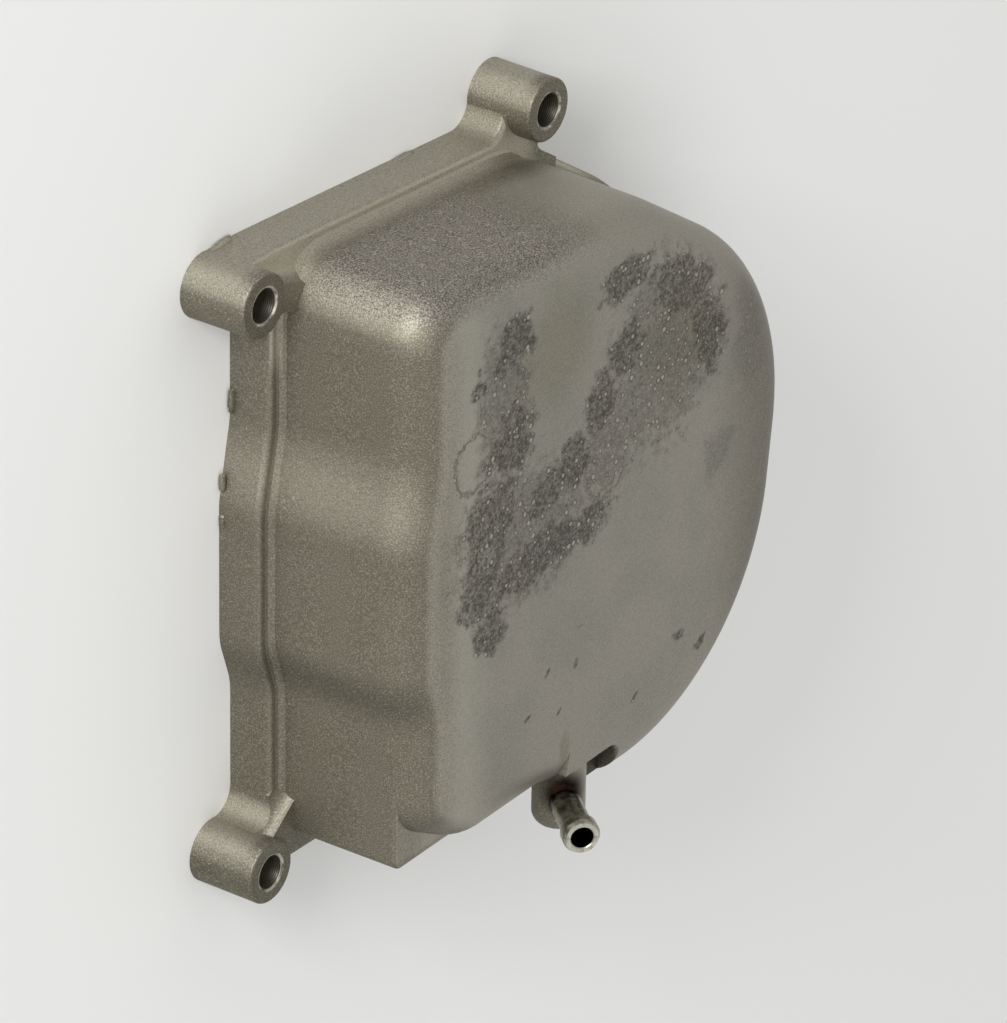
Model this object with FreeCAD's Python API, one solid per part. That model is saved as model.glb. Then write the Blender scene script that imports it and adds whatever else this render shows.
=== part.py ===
import FreeCAD
import Part
import math
import os
from FreeCAD import Vector

# Die cast engine cover with a pressed-in breather tube.
# Millimetres. The cover lies on its machined mating face: Z = 0 is that face, +Z points out through the dome,
# +Y towards the bolt ears at its upper edge. The sizes below are measured from the top left bolt axis. The
# finished pieces are then moved so that the origin is at the middle of the bottom of the cover's box.

# ---------------------------------------------------------------- bolt ears
BOLT_TOP_RIGHT_X = 84.8
BOLT_TOP_RIGHT_Y = 5.7
BOLT_BOTTOM_LEFT_X = 2.1
BOLT_BOTTOM_LEFT_LIFT = 4.334
BOLT_BOTTOM_RIGHT_X = 104.0
BOLT_BOTTOM_RIGHT_Y = -121.5
BOLT_HOLE_D = 6.6
BOLT_HOLE_CHAMFER = 0.3
EAR_D = 12.4
EAR_HEIGHT = 14.0
EAR_DRAFT = 0.6
EAR_EDGE_RADIUS = 0.5
WEB_RADIUS = 5.0
WEB_TIGHT_RADIUS = 1.5
WEB_RUN = 7.0
GUSSET_WIDTH = 5.0
GUSSET_RISE = 3.2
GUSSET_RUN = 3.2
GUSSET_LONG_RUN = 7.0
GUSSET_LENGTH = 16.0
GUSSET_TOP_LEFT_ANGLE = -17.0
GUSSET_TOP_RIGHT_ANGLE = -93.0
GUSSET_BOTTOM_LEFT_ANGLE = 38.0
GUSSET_BOTTOM_RIGHT_ANGLE = 120.0

# ---------------------------------------------------------------- flange round the mating face
FLANGE_THICKNESS = 9.0
FLANGE_EDGE_RADIUS = 1.2
FLANGE_CORNER_RADIUS = 2.5
FLANGE_PEAK_RADIUS = 20.0
FLANGE_LEFT = 7.9
FLANGE_TOP_LEFT_Y = 6.3
FLANGE_PEAK_X = 84.2
FLANGE_PEAK_Y = 0.8
BULGE_OUT = 3.2
BULGE_TOP_START = -30.0
BULGE_TOP_FULL = -46.0
BULGE_BOTTOM_FULL = -75.0
BULGE_BOTTOM_END = -84.5
BULGE_BEND_RADIUS = 14.0

# ---------------------------------------------------------------- barrel: the round right half of the outline
BARREL_X = 72.5
BARREL_Y = -66.0
BARREL_SLOPE_ANGLE = 56.0
BARREL_SLOPE_REACH = 59.3
BARREL_SIDE_ANGLE = -6.6
BARREL_SIDE_REACH = 56.7
BARREL_BOTTOM_ANGLE = -91.7
BARREL_BOTTOM_REACH = 58.1
BARREL_UPPER_RADIUS = 52.2
BARREL_LOWER_RADIUS = 51.3

# ---------------------------------------------------------------- dome
DOME_HEIGHT = 42.0
DOME_DRAFT = 1.2
DOME_EDGE_RADIUS = 9.5
DOME_CORNER_RADIUS = 11.0
DOME_HEEL_X = 27.8
DOME_HEEL_Y = -106.0
DOME_HEEL_RADIUS = 14.0
FOOT_RADIUS = 1.3
FOOT_SINK = 0.1
DOME_LEDGE = 3.2
DOME_BARREL_LEDGE = 1.6
DOME_BOTTOM = -115.5
DOME_PEAK_RADIUS = 32.5
STEP_HEIGHT = 35.0
STEP_REACH = 22.0
STEP_EDGE_RADIUS = 0.8
STEP_CORNER_RADIUS = 3.0
SUMP_START = 52.0
SUMP_RUN = 14.0
SUMP_BEND_RADIUS = 14.0
WALL = 3.0

# ---------------------------------------------------------------- relief beside the breather boss
RELIEF_LENGTH = 13.8
RELIEF_RIGHT = 73.3
RELIEF_FLOOR = 36.5
RELIEF_CORNER_RADIUS = 4.0

# ---------------------------------------------------------------- low rib that runs down the face to the boss
RIB_X = 58.9
RIB_TOP = -81.5
RIB_FLARE = -105.8
RIB_WIDTH_TOP = 1.0
RIB_WIDTH_FLARE = 1.7
RIB_WIDTH_BOTTOM = 2.2
RIB_PROUD_TOP = 0.12
RIB_PROUD_FLARE = 0.2
RIB_PROUD_BOTTOM = 0.25

# ---------------------------------------------------------------- breather boss and tube
BREATHER_X = 60.6
BREATHER_Z = 36.8
BREATHER_D = 10.2
BREATHER_END = -126.1
BREATHER_END_RADIUS = 2.6
BREATHER_PASSAGE_D = 4.2
TUBE_LIFT = 6.6
TUBE_ANGLE = 39.7
TUBE_OD = 6.0
TUBE_ID = 4.2
TUBE_REACH = 17.7
TUBE_BEAD_D = 7.2
TUBE_BEAD_LENGTH = 4.0
TUBE_SOCKET_DEPTH = 3.2


def polar(angle):
    """Unit vector in the mating plane."""
    return Vector(math.cos(math.radians(angle)), math.sin(math.radians(angle)), 0)


class Side:
    """One straight side of an outline: its outward direction, and how far out it lies from the datum bolt."""

    def __init__(self, normal, reach):
        self.normal = normal
        self.reach = reach

    def inset(self, depth):
        return Side(self.normal, self.reach - depth)

    def meet(self, other):
        """The corner where this side meets another."""
        first = self.normal
        second = other.normal
        spread = first.x * second.y - first.y * second.x
        x = (self.reach * second.y - other.reach * first.y) / spread
        y = (other.reach * first.x - self.reach * second.x) / spread
        return Vector(x, y, 0)


def side_between(start, end):
    """Side that runs from start to end, with the casting on its right."""
    run = (end - start).normalize()
    normal = Vector(-run.y, run.x, 0)
    return Side(normal, normal.dot(start))


def side_from_barrel(angle, reach):
    """Side that faces this angle and lies this far from the barrel's centre."""
    normal = polar(angle)
    return Side(normal, normal.dot(BARREL_CENTRE) + reach)


RELIEF_TOP = BREATHER_END + RELIEF_LENGTH
TUBE_Y = BREATHER_END + TUBE_LIFT
BOLT_TOP_LEFT = Vector(0, 0, 0)
BOLT_TOP_RIGHT = Vector(BOLT_TOP_RIGHT_X, BOLT_TOP_RIGHT_Y, 0)
BOLT_BOTTOM_RIGHT = Vector(BOLT_BOTTOM_RIGHT_X, BOLT_BOTTOM_RIGHT_Y, 0)
FLANGE_PEAK = Vector(FLANGE_PEAK_X, FLANGE_PEAK_Y, 0)
BARREL_CENTRE = Vector(BARREL_X, BARREL_Y, 0)
FLANGE_BOTTOM = side_from_barrel(BARREL_BOTTOM_ANGLE, BARREL_BOTTOM_REACH)
BOLT_BOTTOM_LEFT = FLANGE_BOTTOM.inset(BOLT_BOTTOM_LEFT_LIFT).meet(Side(Vector(1, 0, 0), BOLT_BOTTOM_LEFT_X))


def flange_sides():
    """The flange's sides clockwise from the lower left, with the radius of the corner that follows each."""
    bulge = FLANGE_LEFT - BULGE_OUT
    left = Side(Vector(-1, 0, 0), -FLANGE_LEFT)
    bulge_bottom = side_between(Vector(FLANGE_LEFT, BULGE_BOTTOM_END, 0), Vector(bulge, BULGE_BOTTOM_FULL, 0))
    bulge_top = side_between(Vector(bulge, BULGE_TOP_FULL, 0), Vector(FLANGE_LEFT, BULGE_TOP_START, 0))
    return [
        (left, BULGE_BEND_RADIUS),
        (bulge_bottom, BULGE_BEND_RADIUS),
        (Side(Vector(-1, 0, 0), -bulge), BULGE_BEND_RADIUS),
        (bulge_top, BULGE_BEND_RADIUS),
        (left, FLANGE_CORNER_RADIUS),
        (side_between(Vector(FLANGE_LEFT, FLANGE_TOP_LEFT_Y, 0), FLANGE_PEAK), FLANGE_PEAK_RADIUS),
        (side_from_barrel(BARREL_SLOPE_ANGLE, BARREL_SLOPE_REACH), BARREL_UPPER_RADIUS),
        (side_from_barrel(BARREL_SIDE_ANGLE, BARREL_SIDE_REACH), BARREL_LOWER_RADIUS),
        (FLANGE_BOTTOM, FLANGE_CORNER_RADIUS),
    ]


def dome_sides(square):
    """The dome's sides where they leave the mating plane: the flange's, set in by the ledge.

    Under the dome the left part runs level. Right of it the wall dips to the bottom of the barrel. The lower
    left corner is square, or cut off by the sloping heel.
    """
    sides = []
    for side, radius in flange_sides()[:4]:
        sides.append((side.inset(DOME_LEDGE), radius))
    sides.append((sides[0][0], DOME_CORNER_RADIUS))
    sides.append((flange_sides()[5][0].inset(DOME_LEDGE), DOME_PEAK_RADIUS))
    for side, radius in flange_sides()[6:8]:
        sides.append((side.inset(DOME_BARREL_LEDGE), radius - DOME_BARREL_LEDGE))
    bottom = side_from_barrel(-90, BARREL_BOTTOM_REACH - DOME_BARREL_LEDGE)
    dip = side_between(Vector(SUMP_START + SUMP_RUN, -bottom.reach, 0), Vector(SUMP_START, DOME_BOTTOM, 0))
    sides.append((bottom, SUMP_BEND_RADIUS))
    sides.append((dip, SUMP_BEND_RADIUS))
    level = Side(Vector(0, -1, 0), -DOME_BOTTOM)
    if square:
        sides.append((level, STEP_CORNER_RADIUS))
        return sides
    heel_top = Vector(FLANGE_LEFT + DOME_LEDGE, DOME_HEEL_Y, 0)
    sides.append((level, DOME_HEEL_RADIUS))
    sides.append((side_between(Vector(DOME_HEEL_X, DOME_BOTTOM, 0), heel_top), DOME_CORNER_RADIUS))
    return sides


def loop(sides, inset, height):
    """Closed wire of straight sides and corner arcs, this far inside the given sides, at this height.

    An outer corner's radius shrinks with the inset and an inner corner's grows, so walls keep their thickness.
    """
    moved = [side.inset(inset) for side, radius in sides]
    count = len(moved)
    corners = []
    for index in range(count):
        corners.append(moved[index].meet(moved[(index + 1) % count]))
    starts = []
    middles = []
    ends = []
    for index, corner in enumerate(corners):
        back = (corners[index - 1] - corner).normalize()
        ahead = (corners[(index + 1) % count] - corner).normalize()
        half = back.getAngle(ahead) / 2
        outer = back.cross(ahead).z > 0
        radius = sides[index][1] + (-inset if outer else inset)
        radius = max(radius, STEP_EDGE_RADIUS)
        starts.append(corner + back * (radius / math.tan(half)))
        ends.append(corner + ahead * (radius / math.tan(half)))
        middles.append(corner + (back + ahead).normalize() * (radius / math.sin(half) - radius))
    lift = Vector(0, 0, height)
    edges = []
    for index in range(count):
        edges.append(Part.Arc(starts[index] + lift, middles[index] + lift, ends[index] + lift).toShape())
        edges.append(Part.makeLine(ends[index] + lift, starts[(index + 1) % count] + lift))
    return Part.Wire(edges)


def tapered_block(sides, inset, height):
    """Solid whose sides draw in by the casting draft as they rise from the mating plane."""
    drawn_in = inset + height * math.tan(math.radians(DOME_DRAFT))
    return Part.makeLoft([loop(sides, inset, 0), loop(sides, drawn_in, height)], True, True)


def edges_at_height(shape, height, tolerance=0.01):
    """Edges that lie flat at the given height."""
    found = []
    for edge in shape.Edges:
        box = edge.BoundBox
        if abs(box.ZMin - height) < tolerance and abs(box.ZMax - height) < tolerance:
            found.append(edge)
    return found


def dome(inset, height, edge_radius):
    """Domed block: drafted sides, and one round edge all the way round its top."""
    block = tapered_block(dome_sides(False), inset, height)
    return block.makeFillet(edge_radius, edges_at_height(block, height))


def foot():
    """Hollow foot where the dome's wall rises from the flange."""
    sides = dome_sides(True)
    top = FLANGE_THICKNESS + FOOT_RADIUS
    merged = top * math.tan(math.radians(DOME_DRAFT)) + FOOT_SINK
    rings = [loop(sides, -FOOT_RADIUS, FLANGE_THICKNESS - FLANGE_EDGE_RADIUS)]
    for turn in (0, 30, 60):
        rise = FOOT_RADIUS * (1 - math.cos(math.radians(turn)))
        out = FOOT_RADIUS * (1 - math.sin(math.radians(turn)))
        rings.append(loop(sides, -out, FLANGE_THICKNESS + rise))
    rings.append(loop(sides, merged, top))
    return Part.makeLoft(rings, True, True)


def step():
    """The lower left corner of the dome stands square up to here, under the rounded front."""
    sides = dome_sides(True)
    block = tapered_block(sides, 0, STEP_HEIGHT)
    block = block.makeFillet(STEP_EDGE_RADIUS, edges_at_height(block, STEP_HEIGHT))
    corner = sides[-1][0].meet(sides[0][0]) - Vector(WALL, WALL, 0)
    reach = STEP_REACH + WALL
    wedge = Part.Face(Part.makePolygon([
        corner,
        corner + Vector(reach, 0, 0),
        corner + Vector(0, reach, 0),
        corner,
    ]))
    return block.common(wedge.extrude(Vector(0, 0, STEP_HEIGHT)))


def bolts():
    return [BOLT_TOP_LEFT, BOLT_TOP_RIGHT, BOLT_BOTTOM_LEFT, BOLT_BOTTOM_RIGHT]


def disc(centre, diameter):
    return Part.Face(Part.Wire(Part.makeCircle(diameter / 2, centre)))


def web(bolt, centre, heel, radius):
    """Hollow curve about the given centre that eases an ear into the flange.

    heel is the point where the curve runs out on the flange's side.
    """
    on_ear = bolt + (centre - bolt).normalize() * (EAR_D / 2)
    middle = centre + ((on_ear - centre) + (heel - centre)).normalize() * radius
    return Part.Arc(on_ear, middle, heel).toShape()


def web_to_side(bolt, side, hand, radius):
    """Web on a straight side, and a short run along it.

    hand is +1 or -1: to the left or right of the ear, seen from inside the flange.
    """
    out = side.normal
    along = Vector(-out.y, out.x, 0) * hand
    lift = radius - (out.dot(bolt) - side.reach)
    shift = math.sqrt((EAR_D / 2 + radius) ** 2 - lift ** 2)
    centre = bolt + out * lift + along * shift
    heel = centre - out * radius
    return [web(bolt, centre, heel, radius), Part.makeLine(heel, heel + along * WEB_RUN)]


def web_to_arc(bolt, host, host_radius, hand, radius):
    """Web on the round barrel, whose arc has the given centre and radius."""
    gap = (bolt - host).Length
    far = host_radius + radius
    near = EAR_D / 2 + radius
    along = (gap ** 2 + far ** 2 - near ** 2) / (2 * gap)
    aside = math.sqrt(far ** 2 - along ** 2)
    out = (bolt - host).normalize()
    centre = host + out * along + Vector(-out.y, out.x, 0) * (hand * aside)
    return [web(bolt, centre, centre + (host - centre).normalize() * radius, radius)]


def shoulder(bolt, side):
    """Straight run from the crown of an ear on to a side that passes just outside it."""
    crown = Side(Vector(0, 1, 0), bolt.y + EAR_D / 2)
    start = bolt + Vector(0, EAR_D / 2, 0)
    bend = crown.meet(side)
    return [Part.makeLine(start, bend),
            Part.makeLine(bend, bend + Vector(side.normal.y, -side.normal.x, 0) * WEB_RUN)]


def ear_root(bolt, first, second):
    """Plan of the metal between an ear and the flange, bounded by a run of edges on each side."""
    deep = bolt + (BARREL_CENTRE - bolt).normalize() * (EAR_D * 2)
    edges = first + second
    for run in (first, second):
        edges.append(Part.makeLine(bolt, run[0].valueAt(run[0].FirstParameter)))
        edges.append(Part.makeLine(run[-1].valueAt(run[-1].LastParameter), deep))
    return Part.Face(Part.Wire(Part.sortEdges(edges)[0]))


def flange_plan(height):
    """Straight-sided block on the plan of the flange and its ears, with hollow curves where they meet."""
    sides = [side for side, radius in flange_sides()]
    left = sides[0]
    top = sides[5]
    slope = sides[6]
    barrel = sides[7].inset(BARREL_LOWER_RADIUS).meet(FLANGE_BOTTOM.inset(BARREL_LOWER_RADIUS))
    plans = [disc(bolt, EAR_D) for bolt in bolts()]
    plans += [
        ear_root(BOLT_TOP_LEFT,
                 web_to_side(BOLT_TOP_LEFT, left, 1, WEB_TIGHT_RADIUS),
                 shoulder(BOLT_TOP_LEFT, top)),
        ear_root(BOLT_TOP_RIGHT,
                 web_to_side(BOLT_TOP_RIGHT, top, 1, WEB_RADIUS),
                 web_to_side(BOLT_TOP_RIGHT, slope, -1, WEB_TIGHT_RADIUS)),
        ear_root(BOLT_BOTTOM_LEFT,
                 web_to_side(BOLT_BOTTOM_LEFT, left, -1, WEB_RADIUS),
                 web_to_side(BOLT_BOTTOM_LEFT, FLANGE_BOTTOM, 1, WEB_TIGHT_RADIUS)),
        ear_root(BOLT_BOTTOM_RIGHT,
                 web_to_arc(BOLT_BOTTOM_RIGHT, barrel, BARREL_LOWER_RADIUS, 1, WEB_RADIUS),
                 web_to_arc(BOLT_BOTTOM_RIGHT, barrel, BARREL_LOWER_RADIUS, -1, WEB_RADIUS)),
    ]
    rise = Vector(0, 0, height)
    block = Part.Face(loop(flange_sides(), 0, 0)).extrude(rise)
    return block.multiFuse([plan.extrude(rise) for plan in plans]).removeSplitter()


def flange_plate():
    plate = flange_plan(FLANGE_THICKNESS)
    return plate.makeFillet(FLANGE_EDGE_RADIUS, edges_at_height(plate, FLANGE_THICKNESS))


def gusset(bolt, angle, left_run, right_run, aside):
    """Low web that ties an ear to the dome, with hollow flanks that run out on the flange.

    Seen from the ear, each flank has its own run. aside moves the web's crest to the right.
    """
    ahead = polar(angle)
    across = Vector(ahead.y, -ahead.x, 0)

    def corner(place, height):
        return bolt + across * (place + aside) + Vector(0, 0, height)

    edges = []
    for hand, run in ((-1, left_run), (1, right_run)):
        crest = hand * GUSSET_WIDTH / 2
        radius = (run ** 2 + GUSSET_RISE ** 2) / (2 * GUSSET_RISE)
        sweep = math.asin(run / radius) / 2
        toe = corner(crest + hand * run, FLANGE_THICKNESS)
        middle = corner(crest + hand * (run - radius * math.sin(sweep)),
                        FLANGE_THICKNESS + radius * (1 - math.cos(sweep)))
        edges.append(Part.makeLine(corner(crest + hand * run, 0), toe))
        edges.append(Part.Arc(toe, middle, corner(crest, FLANGE_THICKNESS + GUSSET_RISE)).toShape())
    edges.append(Part.makeLine(corner(-GUSSET_WIDTH / 2, FLANGE_THICKNESS + GUSSET_RISE),
                               corner(GUSSET_WIDTH / 2, FLANGE_THICKNESS + GUSSET_RISE)))
    edges.append(Part.makeLine(corner(-GUSSET_WIDTH / 2 - left_run, 0), corner(GUSSET_WIDTH / 2 + right_run, 0)))
    return Part.Face(Part.Wire(Part.sortEdges(edges)[0])).extrude(ahead * GUSSET_LENGTH)


def gussets():
    """The four gussets, kept inside the plan of the flange and its ears."""
    limit = flange_plan(FLANGE_THICKNESS + GUSSET_RISE)
    webs = [
        gusset(BOLT_TOP_LEFT, GUSSET_TOP_LEFT_ANGLE, GUSSET_RUN, GUSSET_RUN, 0),
        gusset(BOLT_TOP_RIGHT, GUSSET_TOP_RIGHT_ANGLE, GUSSET_RUN, GUSSET_LONG_RUN, -GUSSET_RUN),
        gusset(BOLT_BOTTOM_LEFT, GUSSET_BOTTOM_LEFT_ANGLE, GUSSET_RUN, GUSSET_RUN, 0),
        gusset(BOLT_BOTTOM_RIGHT, GUSSET_BOTTOM_RIGHT_ANGLE, GUSSET_RUN, GUSSET_RUN, 0),
    ]
    return [limit.common(web) for web in webs]


def ear(bolt):
    """Tapered bolt boss with a rounded outer end."""
    root = EAR_D / 2 + EAR_HEIGHT * math.tan(math.radians(EAR_DRAFT))
    cone = Part.makeCone(root, EAR_D / 2, EAR_HEIGHT, bolt)
    return cone.makeFillet(EAR_EDGE_RADIUS, edges_at_height(cone, EAR_HEIGHT))


def breather_axis_point(y):
    return Vector(BREATHER_X, y, BREATHER_Z)


def breather_boss():
    """Round boss that hangs from the dome's lower wall, with a rounded end, and the face's flare above it."""
    top = breather_axis_point(DOME_BOTTOM + DOME_EDGE_RADIUS)
    length = top.y - BREATHER_END
    post = Part.makeCylinder(BREATHER_D / 2, length, top, Vector(0, -1, 0))
    tip = [edge for edge in post.Edges if abs(edge.BoundBox.YMax - BREATHER_END) < 0.01]
    post = post.makeFillet(BREATHER_END_RADIUS, tip)
    half = BREATHER_D / 2
    flare = Part.Face(Part.makePolygon([
        Vector(RIB_X - RIB_WIDTH_FLARE, RIB_FLARE, BREATHER_Z),
        Vector(RIB_X + RIB_WIDTH_FLARE, RIB_FLARE, BREATHER_Z),
        Vector(BREATHER_X + half, RELIEF_TOP, BREATHER_Z),
        Vector(BREATHER_X - half, RELIEF_TOP, BREATHER_Z),
        Vector(RIB_X - RIB_WIDTH_FLARE, RIB_FLARE, BREATHER_Z),
    ]))
    return post.fuse(flare.extrude(Vector(0, 0, DOME_HEIGHT - BREATHER_Z)))


def rib():
    """Low rib down the face, wider and prouder towards the breather boss."""
    ends = []
    for y, width, proud in ((RIB_TOP, RIB_WIDTH_TOP, RIB_PROUD_TOP),
                            (RIB_FLARE, RIB_WIDTH_FLARE, RIB_PROUD_FLARE),
                            (RELIEF_TOP, RIB_WIDTH_BOTTOM, RIB_PROUD_BOTTOM)):
        foot = DOME_HEIGHT - WALL / 2
        ends.append(Part.makePolygon([
            Vector(RIB_X - width, y, foot),
            Vector(RIB_X - width, y, DOME_HEIGHT),
            Vector(RIB_X, y, DOME_HEIGHT + proud),
            Vector(RIB_X + width, y, DOME_HEIGHT),
            Vector(RIB_X + width, y, foot),
            Vector(RIB_X - width, y, foot),
        ]))
    return Part.makeLoft(ends, True, True)


def relief(grow):
    """Pocket beside the breather boss, cut from the front edge of the barrel, or that block grown all round."""
    low = Vector(BREATHER_X - grow, BREATHER_END, RELIEF_FLOOR - grow)
    high = Vector(RELIEF_RIGHT + grow, RELIEF_TOP + grow, RELIEF_FLOOR + DOME_HEIGHT)
    size = high - low
    block = Part.makeBox(size.x, size.y, size.z, low)
    corner = []
    for edge in block.Edges:
        box = edge.BoundBox
        if box.ZLength > DOME_HEIGHT - 1 and box.XMin > BREATHER_X + grow and box.YMin > RELIEF_TOP - 1:
            corner.append(edge)
    return block.makeFillet(RELIEF_CORNER_RADIUS + grow, corner)


def breather_passage():
    """Drilling along the boss from the inside of the dome to the tube."""
    top = breather_axis_point(DOME_BOTTOM + DOME_EDGE_RADIUS + WALL)
    depth = top.y - TUBE_Y + BREATHER_PASSAGE_D / 2
    return Part.makeCylinder(BREATHER_PASSAGE_D / 2, depth, top, Vector(0, -1, 0))


def tube_direction():
    angle = math.radians(TUBE_ANGLE)
    return Vector(-math.sin(angle), 0, math.cos(angle))


def tube_seat():
    """Where the tube's inner end stands: that far inside the side of the boss."""
    return breather_axis_point(TUBE_Y) + tube_direction() * (BREATHER_D / 2 - TUBE_SOCKET_DEPTH)


def breather_tube():
    """Turned tube: plain shank, rolled bead at the free end, and a chamfered mouth."""
    outer = TUBE_OD / 2
    bore = TUBE_ID / 2
    bead = TUBE_BEAD_D / 2
    swell = bead - outer
    length = TUBE_REACH - (BREATHER_D / 2 - TUBE_SOCKET_DEPTH)
    mouth = (outer - bore) / 2
    bead_start = length - TUBE_BEAD_LENGTH
    points = [
        Vector(bore, 0, 0),
        Vector(outer, 0, 0),
        Vector(outer, 0, bead_start),
        Vector(bead, 0, bead_start + swell * 2),
        Vector(bead, 0, length - mouth * 2),
        Vector(bead - mouth, 0, length),
        Vector(bore + mouth / 2, 0, length),
        Vector(bore, 0, length - mouth / 2),
        Vector(bore, 0, 0),
    ]
    profile = Part.Face(Part.makePolygon(points))
    tube = profile.revolve(Vector(0, 0, 0), Vector(0, 0, 1), 360)
    tube.rotate(Vector(0, 0, 0), Vector(0, 1, 0), -TUBE_ANGLE)
    tube.translate(tube_seat())
    return tube


def socket():
    """Bore in the side of the boss that takes the tube, open to the passage."""
    return Part.makeCylinder(TUBE_OD / 2, BREATHER_D, tube_seat(), tube_direction())


def bolt_hole(bolt):
    """Through hole with a chamfered outer mouth."""
    radius = BOLT_HOLE_D / 2
    drilling = Part.makeCylinder(radius, EAR_HEIGHT + 2, bolt - Vector(0, 0, 1))
    mouth = Part.makeCone(radius, radius + BOLT_HOLE_CHAMFER, BOLT_HOLE_CHAMFER,
                          bolt + Vector(0, 0, EAR_HEIGHT - BOLT_HOLE_CHAMFER))
    return drilling.fuse(mouth)


def cover_casting():
    """The whole casting: flange, ears, dome and breather boss in one piece, hollow from the mating face."""
    casting = flange_plate().multiFuse([dome(0, DOME_HEIGHT, DOME_EDGE_RADIUS), step(), foot()]).removeSplitter()
    casting = casting.multiFuse([ear(bolt) for bolt in bolts()] + gussets() + [rib()]).removeSplitter()
    casting = casting.cut(relief(0)).fuse(breather_boss())
    cavity = dome(WALL, DOME_HEIGHT - WALL, DOME_EDGE_RADIUS - WALL).cut(relief(WALL))
    holes = [cavity, breather_passage(), socket()]
    for bolt in bolts():
        holes.append(bolt_hole(bolt))
    casting = casting.cut(holes).removeSplitter()
    return casting.Solids[0]


def origin_shift(pieces):
    """Move that brings the middle of the bottom of the box round the pieces to the origin."""
    box = Part.makeCompound(list(pieces)).optimalBoundingBox(False, False)
    return Vector(-box.Center.x, -box.Center.y, -box.ZMin)


if __name__ == "__main__":
    os.makedirs("parts", exist_ok=True)
    pieces = {
        "cover_casting": cover_casting(),
        "breather_tube": breather_tube(),
    }
    shift = origin_shift(pieces.values())
    for name, piece in pieces.items():
        piece.translate(shift)
        piece.exportStep(os.path.join("parts", name + ".step"))
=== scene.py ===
import math
import bpy
from mathutils import Matrix, Vector


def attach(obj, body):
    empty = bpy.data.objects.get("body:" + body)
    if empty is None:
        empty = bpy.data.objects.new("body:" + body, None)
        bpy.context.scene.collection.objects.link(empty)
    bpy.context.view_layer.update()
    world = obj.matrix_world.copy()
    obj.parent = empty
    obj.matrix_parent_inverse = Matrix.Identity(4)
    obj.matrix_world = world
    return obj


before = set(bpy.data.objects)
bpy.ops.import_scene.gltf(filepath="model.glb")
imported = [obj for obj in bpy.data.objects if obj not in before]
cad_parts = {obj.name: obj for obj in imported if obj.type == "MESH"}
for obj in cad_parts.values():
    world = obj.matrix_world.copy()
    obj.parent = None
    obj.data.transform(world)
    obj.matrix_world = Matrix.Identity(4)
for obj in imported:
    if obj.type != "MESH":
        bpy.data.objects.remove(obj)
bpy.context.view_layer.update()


# ---------------------------------------------------------------- floor, light and camera
# A plain pale floor under the mating face, soft lights from the side of the flange and from above, and a long
# lens that looks down at the left wall, the roof and the face.
FLOOR_SIZE = 30
WORLD_STRENGTH = 0.66
LIGHT_TARGET = (0, 0, 0.02)
KEY_PLACE = (-1.25, 0.9, 0.32)
KEY_SIZE = 0.55
KEY_POWER = 20
FILL_PLACE = (-0.8, -0.8, 1.2)
FILL_SIZE = 0.8
FILL_POWER = 2
CAMERA_PLACE = (-0.992817, 0.67016, 0.73538)
CAMERA_RIGHT = Vector((0.5835, 0.0, 0.8121))
CAMERA_UP = Vector((0.3937, 0.8746, -0.2829))
CAMERA_ROLL = math.radians(1.09)
FOCAL_LENGTH = 266.0
SENSOR_WIDTH = 36


def linear(code):
    """sRGB hex colour as linear RGBA."""
    parts = [int(code[i:i + 2], 16) / 255 for i in (0, 2, 4)]
    return [p / 12.92 if p <= 0.04045 else ((p + 0.055) / 1.055) ** 2.4 for p in parts] + [1.0]


bpy.ops.object.select_all(action="DESELECT")
bpy.ops.mesh.primitive_plane_add(size=FLOOR_SIZE)
floor = bpy.context.object
floor.name = "floor"
paper = bpy.data.materials.new("matt_white_paper")
paper.use_nodes = True
paper_shader = paper.node_tree.nodes["Principled BSDF"]
paper_shader.inputs["Base Color"].default_value = linear("F4F4F2")
paper_shader.inputs["Roughness"].default_value = 0.9
floor.data.materials.append(paper)

bpy.context.scene.view_settings.view_transform = "Standard"
world = bpy.data.worlds.new("studio")
world.use_nodes = True
world.node_tree.nodes["Background"].inputs["Color"].default_value = linear("FFFFFF")
world.node_tree.nodes["Background"].inputs["Strength"].default_value = WORLD_STRENGTH
bpy.context.scene.world = world


def softbox(name, place, target, size, power):
    """Square area light at a place, turned to a target."""
    data = bpy.data.lights.new(name, "AREA")
    data.size = size
    data.energy = power
    lamp = bpy.data.objects.new(name, data)
    lamp.location = place
    lamp.rotation_euler = (Vector(target) - Vector(place)).to_track_quat("-Z", "Y").to_euler()
    bpy.context.scene.collection.objects.link(lamp)


softbox("key", KEY_PLACE, LIGHT_TARGET, KEY_SIZE, KEY_POWER)
softbox("fill", FILL_PLACE, LIGHT_TARGET, FILL_SIZE, FILL_POWER)

screen_right = CAMERA_RIGHT * math.cos(CAMERA_ROLL) + CAMERA_UP * math.sin(CAMERA_ROLL)
screen_up = CAMERA_UP * math.cos(CAMERA_ROLL) - CAMERA_RIGHT * math.sin(CAMERA_ROLL)
back = screen_right.cross(screen_up).normalized()
lens_data = bpy.data.cameras.new("camera")
lens_data.lens = FOCAL_LENGTH
lens_data.sensor_width = SENSOR_WIDTH
lens_data.clip_end = 50
camera = bpy.data.objects.new("camera", lens_data)
turn = Matrix((screen_right.normalized(), screen_up.normalized(), back)).transposed().to_4x4()
camera.matrix_world = Matrix.Translation(CAMERA_PLACE) @ turn
bpy.context.scene.collection.objects.link(camera)
bpy.context.scene.camera = camera


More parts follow.
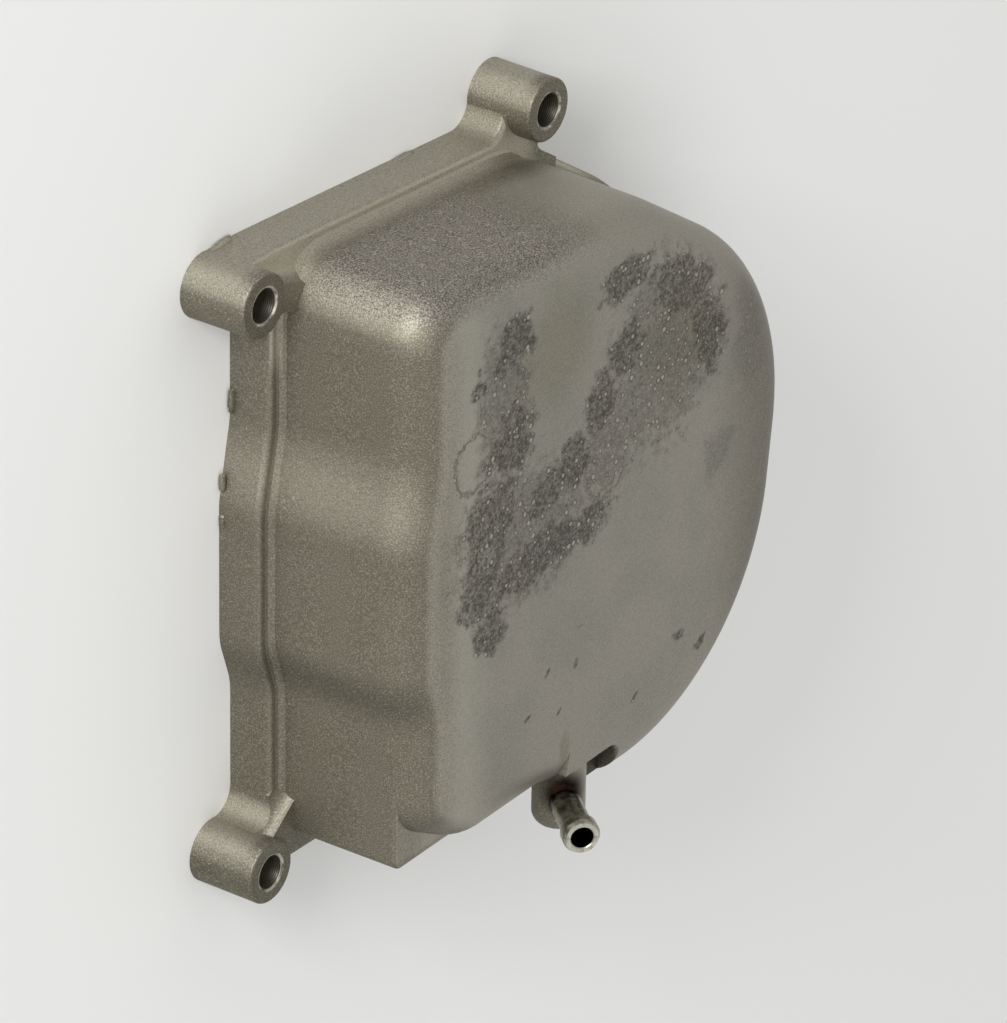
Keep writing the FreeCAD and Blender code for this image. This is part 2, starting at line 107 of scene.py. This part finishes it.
# ---------------------------------------------------------------- cover casting
# One aluminium die casting, blasted outside: olive grey walls, a darker sparkling roof and a smoother, greyer
# face with dark corrosion stains and bubbly pits. The mating face and the bolt holes are machined.
# Places and sizes here are millimetres in the part's frame.
FACE_HEIGHT = 42.0
SPOT_DEPTH = 12.0
BOLT_AXES = ((-61.7, 57.9), (23.1, 63.6), (-59.6, -59.8), (42.3, -63.6))
# the normal along which the painted highlight is strongest
HIGHLIGHT_FACING = (-0.74, 0.67, 0.0)


def node(tree, kind, links=(), **settings):
    """New shader node. links maps an input's name or number to a value or to another node's output."""
    made = tree.nodes.new(kind)
    for name, value in settings.items():
        setattr(made, name, value)
    for key, value in dict(links).items():
        if isinstance(value, bpy.types.NodeSocket):
            tree.links.new(value, made.inputs[key])
        else:
            made.inputs[key].default_value = value
    return made


def maths(tree, operation, first, second=0.0):
    """Sum, product or other operation on two numbers."""
    return node(tree, "ShaderNodeMath", {0: first, 1: second}, operation=operation).outputs[0]


def ease(tree, value, low, high, bottom=0.0, top=1.0):
    """Smooth step of a value from low to high."""
    links = {"Value": value, "From Min": low, "From Max": high, "To Min": bottom, "To Max": top}
    return node(tree, "ShaderNodeMapRange", links, interpolation_type="SMOOTHSTEP").outputs[0]


def blend(tree, amount, first, second):
    """First colour turning into the second as the amount goes from 0 to 1."""
    links = {0: amount, 6: first, 7: second}
    return node(tree, "ShaderNodeMix", links, data_type="RGBA", blend_type="MIX").outputs[2]


def noise(tree, place, scale, detail=2.0, rough=0.5):
    """Cloudy pattern between 0 and 1, with scale clouds to the millimetre."""
    links = {"Vector": place, "Scale": scale, "Detail": detail, "Roughness": rough}
    return node(tree, "ShaderNodeTexNoise", links).outputs["Fac"]


def millimetres(tree):
    """Object coordinates in millimetres, and the surface normal in the part's frame."""
    source = node(tree, "ShaderNodeTexCoord")
    links = {0: source.outputs["Object"], "Scale": 1000.0}
    place = node(tree, "ShaderNodeVectorMath", links, operation="SCALE")
    return place.outputs[0], source.outputs["Normal"]


def reach_from(tree, place, centre, size, turn=0.0):
    """0 at the centre and 1 on the skin of an ellipsoid with these half widths in millimetres."""
    links = {"Vector": place, "Location": centre, "Rotation": (0.0, 0.0, math.radians(turn)), "Scale": size}
    local = node(tree, "ShaderNodeMapping", links, vector_type="TEXTURE").outputs[0]
    return node(tree, "ShaderNodeVectorMath", {0: local}, operation="LENGTH").outputs["Value"]


def spot(tree, place, x, y, wide, high, turn=0.0, z=FACE_HEIGHT, deep=SPOT_DEPTH):
    """1 in the middle of an oval on the face, falling to 0 at its rim."""
    return ease(tree, reach_from(tree, place, (x, y, z), (wide, high, deep), turn), 1.0, 0.35)


def outline(tree, place, x, y, radius, wobble):
    """Thin wavering ring on the face."""
    reach = reach_from(tree, place, (x, y, FACE_HEIGHT), (radius, radius, SPOT_DEPTH))
    reach = maths(tree, "ADD", reach, wobble)
    return ease(tree, maths(tree, "ABSOLUTE", maths(tree, "SUBTRACT", reach, 1.0)), 0.16, 0.03)


def strongest(tree, values):
    """Largest of several masks."""
    total = values[0]
    for value in values[1:]:
        total = maths(tree, "MAXIMUM", total, value)
    return total


cast = bpy.data.materials.new("blasted_cast_aluminium")
cast.use_nodes = True
tree = cast.node_tree
shader = tree.nodes["Principled BSDF"]
place, normal = millimetres(tree)
at = node(tree, "ShaderNodeSeparateXYZ", {0: place}).outputs
facing = node(tree, "ShaderNodeSeparateXYZ", {0: normal}).outputs

# which surface this is, how rough its skin is, and where the painted highlights fall
upper = ease(tree, at[2], 30.0, 36.0)
outward = maths(tree, "MULTIPLY", ease(tree, facing[2], 0.35, 1.0), ease(tree, at[0], -46.0, -37.0))
on_face = maths(tree, "MULTIPLY", upper, ease(tree, facing[2], 0.70, 0.95))
on_roof = maths(tree, "MULTIPLY", ease(tree, facing[1], 0.35, 0.80), ease(tree, at[0], 8.0, -14.0))
on_roof = maths(tree, "MULTIPLY", on_roof, ease(tree, at[2], 10.0, 16.0))
gritty = maths(tree, "MAXIMUM", ease(tree, at[0], 14.0, -16.0), ease(tree, at[2], 20.0, 14.0))
smooth = maths(tree, "MULTIPLY", upper, outward)
gritty = maths(tree, "MULTIPLY", gritty, maths(tree, "SUBTRACT", 1.0, smooth))
# painted highlight: roundings that face up and to the left are painted lighter
edge_lean = node(tree, "ShaderNodeVectorMath", {0: normal, 1: HIGHLIGHT_FACING}, operation="DOT_PRODUCT")
painted_highlight = ease(tree, edge_lean.outputs["Value"], 0.84, 0.99, 0.0, 0.42)
# painted highlight: a soft light patch on the upper ramp of the left wall's bulge
painted_ramp_highlight = ease(tree, reach_from(tree, place, (-56, 19, 20), (14, 11, 60)), 1.0, 0.0, 0.0, 0.42)
painted_highlight = maths(tree, "MAXIMUM", painted_highlight, painted_ramp_highlight)
low = ease(tree, at[2], 13.0, 10.0)
on_joint = maths(tree, "MULTIPLY", ease(tree, facing[2], -0.9, -0.98), ease(tree, at[2], 0.2, 0.05))
grain_strength = maths(tree, "ADD", maths(tree, "MULTIPLY", gritty, 0.16), 0.19)
grain_strength = maths(tree, "ADD", grain_strength, maths(tree, "MULTIPLY", on_roof, 0.45))

# base tones: wall, roof and face, then the ledge, painted highlights on the edges and painted shade in the
# turns
cloud = noise(tree, place, 0.05, 3.0)
ragged = noise(tree, place, 0.42, 5.0, 0.68)
grain = noise(tree, place, 3.3, 1.0, 0.6)  # about 0.3 mm, a little coarse so that it shows
light_grain = ease(tree, grain, 0.46, 0.78)
dark_grain = ease(tree, grain, 0.54, 0.24)
wall_tone = blend(tree, cloud, linear("746F60"), linear("837E70"))
roof_tone = blend(tree, ragged, linear("7E7970"), linear("918B82"))
face_tone = blend(tree, ease(tree, cloud, 0.42, 0.60), linear("A29D92"), linear("9B998E"))
side_tone = linear("9E9A8F")
colour = blend(tree, gritty, side_tone, wall_tone)
colour = blend(tree, on_roof, colour, roof_tone)
# painted highlight: the flange's sides facing +y are painted lighter
colour = blend(tree, maths(tree, "MULTIPLY", low, ease(tree, facing[1], 0.5, 0.9)), colour, linear("A29E90"))
# the ledges' own tone, with a painted highlight that lightens the top ledge (y over 36 mm)
ledge_tone_and_highlight = blend(tree, ease(tree, at[1], 36.0, 46.0), linear("8A8677"), linear("C6C1B0"))
colour = blend(tree, maths(tree, "MULTIPLY", low, ease(tree, facing[2], 0.5, 0.97)), colour, ledge_tone_and_highlight)
# lay the painted highlights on
colour = blend(tree, painted_highlight, colour, linear("B9B4A4"))
# painted shade: a dark band under the lower ramp of the left wall's bulge
painted_ramp_shade = ease(tree, reach_from(tree, place, (-54, -21, 22), (14, 7, 60)), 1.0, 0.0, 0.0, 0.5)
colour = blend(tree, painted_ramp_shade, colour, linear("57534A"))
# painted shade on the faces that look down (-y), stronger towards the heel
heel_shade_weight = ease(tree, at[0], -5.0, -20.0, 0.0, 0.45)
painted_underside_shade = maths(tree, "MULTIPLY", ease(tree, facing[1], -0.3, -0.8), heel_shade_weight)
colour = blend(tree, painted_underside_shade, colour, linear("57534A"))
face_side = maths(tree, "MULTIPLY", ease(tree, facing[2], 0.60, 0.88), ease(tree, at[0], -44.0, -36.0))
colour = blend(tree, maths(tree, "MULTIPLY", upper, face_side), colour, face_tone)
# painted highlight along the face's rounded left edge
painted_turn_highlight = maths(tree, "MULTIPLY", ease(tree, facing[2], 0.80, 0.93), ease(tree, at[0], -28.0, -40.0))
painted_turn_highlight = maths(tree, "MULTIPLY", maths(tree, "MULTIPLY", painted_turn_highlight, upper), 0.4)
colour = blend(tree, painted_turn_highlight, colour, linear("C2BDAF"))
# painted shade: the face darkens towards its far (+x) side
painted_far_shade = maths(tree, "MULTIPLY", on_face, ease(tree, at[0], 34.0, 57.0, 0.0, 0.75))
colour = blend(tree, painted_far_shade, colour, linear("7A766C"))
olive = strongest(tree, [
    spot(tree, place, -12, 38, 16, 16),
    spot(tree, place, 26, 24, 16, 12, -30),
    spot(tree, place, -7, -48, 2.2, 5),
])
colour = blend(tree, maths(tree, "MULTIPLY", olive, 0.45), colour, linear("827E68"))

# corrosion stains on the face: broad faint ones, dark ragged ones and a few thin outlines
warp = node(tree, "ShaderNodeTexNoise", {"Vector": place, "Scale": 0.15, "Detail": 2.0, "Roughness": 0.6})
centred = {0: warp.outputs["Color"], 1: (0.5, 0.5, 0.5)}
push = node(tree, "ShaderNodeVectorMath", centred, operation="SUBTRACT")
push = node(tree, "ShaderNodeVectorMath", {0: push.outputs[0], 1: (11.0, 11.0, 0.0)}, operation="MULTIPLY")
bent = node(tree, "ShaderNodeVectorMath", {0: place, 1: push.outputs[0]}, operation="ADD").outputs[0]
heavy = strongest(tree, [
    spot(tree, bent, -25, 44, 8, 9, 20),
    spot(tree, bent, -26, 25, 10, 10),
    spot(tree, bent, -36, 41, 4, 4),
    spot(tree, bent, -32, 11, 11, 11),
    spot(tree, bent, -13, 9, 18, 5, 5),
    spot(tree, bent, -6, 13, 7, 9),
    spot(tree, place, 2, 21, 7, 9),
    spot(tree, bent, 10, 29, 9, 7, 20),
    spot(tree, bent, 9, 43, 11, 6, 10),
    spot(tree, bent, 27, 35, 17, 8, -35),
    spot(tree, bent, 36, 22, 7, 14, 10),
    spot(tree, bent, -14, -3, 29, 7, 3),
    spot(tree, bent, -35, 0, 9, 12),
    spot(tree, bent, -31, -12, 7, 7),
])
light = strongest(tree, [
    spot(tree, bent, -22, 4, 30, 20, -10),
    spot(tree, bent, -28, 34, 12, 24),
    spot(tree, bent, 22, 24, 26, 28),
    spot(tree, bent, 4, 10, 12, 12),
])
far = strongest(tree, [
    spot(tree, bent, 50, 16, 7, 16),
    spot(tree, bent, 40, -6, 6, 6),
])
nicks = strongest(tree, [
    spot(tree, place, -13, -29, 1.6, 0.7, 50),
    spot(tree, place, -19, -36, 1.6, 0.6, 20),
    spot(tree, place, -9, -39, 1.4, 0.6, 40),
    spot(tree, place, -4, -31, 1.5, 0.8, 70),
    spot(tree, bent, 28, -41, 3.4, 1.8, 10),
    spot(tree, bent, 37, -44, 3.2, 1.5, 30),
    spot(tree, bent, 17, -47, 2.4, 1.0, 20),
])

# each stain is eaten into by ragged noise, and the strongest of them wins
shift = maths(tree, "SUBTRACT", ragged, 0.5)
stain = ease(tree, maths(tree, "ADD", heavy, maths(tree, "MULTIPLY", shift, 2.6)), 0.05, 0.95)
stain = maths(tree, "MULTIPLY", stain, ease(tree, heavy, 0.0, 0.25))
faint = ease(tree, maths(tree, "ADD", light, maths(tree, "MULTIPLY", shift, 2.6)), 0.10, 0.9, 0.0, 0.55)
faint = maths(tree, "MULTIPLY", faint, ease(tree, light, 0.0, 0.3))
lines = strongest(tree, [
    outline(tree, place, -37, 25, 5.5, shift),
    outline(tree, place, 4, 7, 6, shift),
])
stain = strongest(tree, [
    stain,
    faint,
    maths(tree, "MULTIPLY", lines, 0.7),
    nicks,
    maths(tree, "MULTIPLY", far, 0.30),
])
stain = maths(tree, "MULTIPLY", stain, on_face)
mottle = noise(tree, place, 1.2, 3.0, 0.7)
pitted = ease(tree, mottle, 0.36, 0.60, 0.35, 1.0)
stain_amount = maths(tree, "MULTIPLY", maths(tree, "MULTIPLY", stain, pitted), 0.85)
colour = blend(tree, stain_amount, colour, linear("4F4B45"))

# small bubbles in the stains: a light dot inside a dark ring
bubble = node(tree, "ShaderNodeTexVoronoi", {"Vector": place, "Scale": 0.70}, feature="F1")
picked = node(tree, "ShaderNodeSeparateColor", {0: bubble.outputs["Color"]}).outputs
chosen = maths(tree, "MULTIPLY", ease(tree, picked[1], 0.42, 0.5), ease(tree, stain, 0.12, 0.5))
size = ease(tree, picked[0], 0.0, 1.0, 0.7, 1.4)
reach = maths(tree, "MULTIPLY", bubble.outputs["Distance"], size)
dot = maths(tree, "MULTIPLY", ease(tree, reach, 0.30, 0.17), chosen)
rim = maths(tree, "MULTIPLY", ease(tree, reach, 0.48, 0.30), chosen)
colour = blend(tree, maths(tree, "MULTIPLY", rim, 0.45), colour, linear("48443E"))
colour = blend(tree, maths(tree, "MULTIPLY", dot, 0.9), colour, linear("BCB7AA"))

# pale pits at the roof's corner
pits = strongest(tree, [
    spot(tree, place, -24.5, 51.9, 1.5, 2.0, 0.0, 32.0, 1.3),
    spot(tree, place, -22.5, 51.5, 1.0, 2.0, 0.0, 35.0, 1.0),
    spot(tree, place, -17.5, 51.5, 0.9, 2.0, 0.0, 36.0, 0.8),
])
colour = blend(tree, maths(tree, "MULTIPLY", pits, 0.8), colour, linear("D8D4CA"))

# the burnt boss, darker on its left side and lighter on its right, and painted shade in the recess beside it
burn = spot(tree, place, -4.6, -59.5, 6.0, 6.5, 0.0, 40.5, 6.0)
# the boss darker on its left side
boss_left_dark = maths(tree, "MULTIPLY", ease(tree, at[1], -54.5, -57.0), ease(tree, at[0], 1.0, -4.0))
colour = blend(tree, maths(tree, "MULTIPLY", boss_left_dark, 0.40), colour, linear("5B5A4B"))
# the boss lighter on its right side
boss_right_light = maths(tree, "MULTIPLY", ease(tree, at[1], -54.5, -57.0), ease(tree, at[0], 0.0, 2.5))
boss_right_light = maths(tree, "MULTIPLY", boss_right_light, ease(tree, at[0], 4.6, 4.2))
colour = blend(tree, boss_right_light, colour, linear("C4C3B8"))
# painted shade in the recess beside the boss
painted_recess_shade = maths(tree, "MULTIPLY", ease(tree, at[2], 41.4, 40.0), ease(tree, at[1], -50.5, -52.5))
between = maths(tree, "MULTIPLY", ease(tree, at[0], 3.6, 4.3), ease(tree, at[0], 11.9, 11.4))
painted_recess_shade = maths(tree, "MULTIPLY", painted_recess_shade, between)
painted_recess_shade = maths(tree, "MULTIPLY", painted_recess_shade, ease(tree, at[2], 35.0, 36.0))
colour = blend(tree, painted_recess_shade, colour, linear("4E4940"))

# scuffs that shine on the ears and the flange
scuffs = maths(tree, "MULTIPLY", ease(tree, mottle, 0.64, 0.72), ease(tree, at[2], 15.0, 13.0))
colour = blend(tree, maths(tree, "MULTIPLY", scuffs, 0.45), colour, linear("DAD6CC"))

# blasted grain
colour = blend(tree, maths(tree, "MULTIPLY", light_grain, grain_strength), colour, linear("C9C4B8"))
colour = blend(tree, maths(tree, "MULTIPLY", dark_grain, grain_strength), colour, linear("4B473F"))

# the burn lies over the grain
burn_tone = blend(tree, ease(tree, ragged, 0.4, 0.62), linear("15100D"), linear("3A2C22"))
colour = blend(tree, burn, colour, burn_tone)

# machined mating face and bolt holes, with scuffed bright rims
from_axis = []
for x, y in BOLT_AXES:
    aside = {0: maths(tree, "SUBTRACT", at[0], x), 1: maths(tree, "SUBTRACT", at[1], y)}
    flat = node(tree, "ShaderNodeCombineXYZ", aside).outputs[0]
    from_axis.append(node(tree, "ShaderNodeVectorMath", {0: flat}, operation="LENGTH").outputs["Value"])
nearest = from_axis[0]
for value in from_axis[1:]:
    nearest = maths(tree, "MINIMUM", nearest, value)
in_hole = ease(tree, nearest, 3.38, 3.32)
marks = {"Vector": place, "Scale": 0.75, "Distortion": 1.2, "Detail": 1.0}  # about 0.4 mm apart
turned = node(tree, "ShaderNodeTexWave", marks, wave_type="BANDS", bands_direction="Z").outputs["Fac"]
hole_tone = blend(tree, turned, linear("8A857A"), linear("C9C4B8"))
scuffed = maths(tree, "MULTIPLY", ease(tree, nearest, 3.95, 3.6), ease(tree, ragged, 0.42, 0.56))
scuffed = maths(tree, "MULTIPLY", scuffed, ease(tree, at[2], 12.0, 13.4))
colour = blend(tree, maths(tree, "MULTIPLY", scuffed, 0.8), colour, linear("D6D2C8"))
colour = blend(tree, in_hole, colour, hole_tone)
colour = blend(tree, on_joint, colour, linear("A9A8A3"))

# gloss and the bump of the grain
rough = maths(tree, "SUBTRACT", 0.62, maths(tree, "MULTIPLY", on_face, 0.08))
rough = maths(tree, "ADD", rough, maths(tree, "MULTIPLY", stain, 0.15))
machined = maths(tree, "MAXIMUM", on_joint, in_hole)
rough = maths(tree, "SUBTRACT", rough, maths(tree, "MULTIPLY", machined, 0.25))

relief = maths(tree, "MULTIPLY", grain, maths(tree, "ADD", maths(tree, "MULTIPLY", gritty, 0.8), 0.3))
relief = maths(tree, "MULTIPLY", relief, maths(tree, "SUBTRACT", 1.0, machined))
relief = maths(tree, "ADD", relief, maths(tree, "MULTIPLY", turned, maths(tree, "MULTIPLY", in_hole, 0.5)))
bump = node(tree, "ShaderNodeBump", {"Strength": 0.6, "Distance": 0.0001, "Height": relief})

tree.links.new(colour, shader.inputs["Base Color"])
tree.links.new(rough, shader.inputs["Roughness"])
tree.links.new(bump.outputs[0], shader.inputs["Normal"])
shader.inputs["Metallic"].default_value = 1.0
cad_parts["cover_casting"].data.materials.clear()
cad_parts["cover_casting"].data.materials.append(cast)


# ---------------------------------------------------------------- flash on the rear edge
# Ragged fins of cast aluminium that the die left on the rear edge of the flange. Each is a cube drawn out
# along the edge, rounded at its ends and roughened. They are joined into one piece.
FIN_HEIGHT = 0.0007
FIN_THICKNESS = 0.0010
FIN_SMOOTHING = math.radians(50)


def fin(x, y, length, width, angle, seed):
    """One fin, with its place and size in millimetres and its turn in degrees."""
    bpy.ops.object.select_all(action="DESELECT")
    bpy.ops.mesh.primitive_cube_add(size=1, location=(x / 1000, y / 1000, FIN_HEIGHT))
    made = bpy.context.object
    bpy.ops.object.mode_set(mode="EDIT")
    bpy.ops.mesh.select_all(action="SELECT")
    bpy.ops.mesh.subdivide(number_cuts=4)
    bpy.ops.transform.tosphere(value=0.75)
    bpy.ops.transform.vertex_random(offset=0.12, seed=seed)
    bpy.ops.object.mode_set(mode="OBJECT")
    made.rotation_euler = (0, 0, math.radians(angle))
    made.scale = (length / 1000, width / 1000, FIN_THICKNESS)
    bpy.ops.object.transform_apply(location=True, rotation=True, scale=True)
    return made


fins = [
    fin(-53.9, 31.5, 4.2, 1.9, 90, 1),
    fin(-57.0, 16.0, 3.0, 1.0, 90, 2),
    fin(-57.0, 8.0, 2.4, 0.8, 90, 3),
    fin(-3.7, 60.35, 5.0, 1.2, -3.8, 4),
    fin(-57.5, 63.9, 5.5, 1.6, 8, 5),
]
bpy.ops.object.select_all(action="DESELECT")
for piece in fins:
    piece.select_set(True)
bpy.context.view_layer.objects.active = fins[0]
bpy.ops.object.join()
flash = bpy.context.object
flash.name = "edge_flash"
bpy.ops.object.shade_smooth_by_angle(angle=FIN_SMOOTHING)
flash.data.materials.clear()
flash.data.materials.append(cast)
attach(flash, "root")


# ---------------------------------------------------------------- breather tube
# Turned steel tube with a bead, pressed into the boss: dark and shiny, browned by heat at its root, with a
# bright chamfered mouth and painted shade in its bore. It leans sideways, and its finish follows its own
# axis.
TUBE_LEAN = math.radians(39.7)
TUBE_ROOT = (-1.137, -61.6, 36.8)

steel = bpy.data.materials.new("browned_bare_steel")
steel.use_nodes = True
tree = steel.node_tree
shader = tree.nodes["Principled BSDF"]
place, normal = millimetres(tree)
along = (-math.sin(TUBE_LEAN), 0.0, math.cos(TUBE_LEAN))
from_root = node(tree, "ShaderNodeVectorMath", {0: place, 1: TUBE_ROOT}, operation="SUBTRACT").outputs[0]
reach = node(tree, "ShaderNodeVectorMath", {0: from_root, 1: along}, operation="DOT_PRODUCT").outputs["Value"]
foot = node(tree, "ShaderNodeVectorMath", {0: along, "Scale": reach}, operation="SCALE").outputs[0]
aside = node(tree, "ShaderNodeVectorMath", {0: from_root, 1: foot}, operation="SUBTRACT").outputs[0]
radius = node(tree, "ShaderNodeVectorMath", {0: aside}, operation="LENGTH").outputs["Value"]
smear = noise(tree, place, 0.5, 4.0, 0.6)
speckle = noise(tree, place, 3.5, 3.0, 0.7)
tone = blend(tree, ease(tree, smear, 0.35, 0.65), linear("777466"), linear("ADAA9C"))
burnt = ease(tree, maths(tree, "ADD", reach, maths(tree, "MULTIPLY", smear, 4.0)), 9.5, 7.0)
tone = blend(tree, burnt, tone, linear("2A211B"))
tone = blend(tree, maths(tree, "MULTIPLY", ease(tree, speckle, 0.58, 0.75), 0.5), tone, linear("98968C"))
mouth = maths(tree, "MULTIPLY", ease(tree, reach, 17.1, 17.35), ease(tree, radius, 2.05, 2.2))
nicks = ease(tree, noise(tree, place, 0.9, 2.0), 0.40, 0.52)
tone = blend(tree, maths(tree, "MULTIPLY", mouth, nicks), tone, linear("A5A49A"))
# painted shade: the tube's bore is painted black
painted_bore_shade = ease(tree, radius, 2.2, 2.12)
tone = blend(tree, painted_bore_shade, tone, linear("0B0B0A"))
tree.links.new(tone, shader.inputs["Base Color"])
tree.links.new(ease(tree, smear, 0.3, 0.7, 0.22, 0.42), shader.inputs["Roughness"])
bump = node(tree, "ShaderNodeBump", {"Strength": 0.4, "Distance": 0.00005, "Height": speckle})
tree.links.new(bump.outputs[0], shader.inputs["Normal"])
shader.inputs["Metallic"].default_value = 1.0
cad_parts["breather_tube"].data.materials.clear()
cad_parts["breather_tube"].data.materials.append(steel)
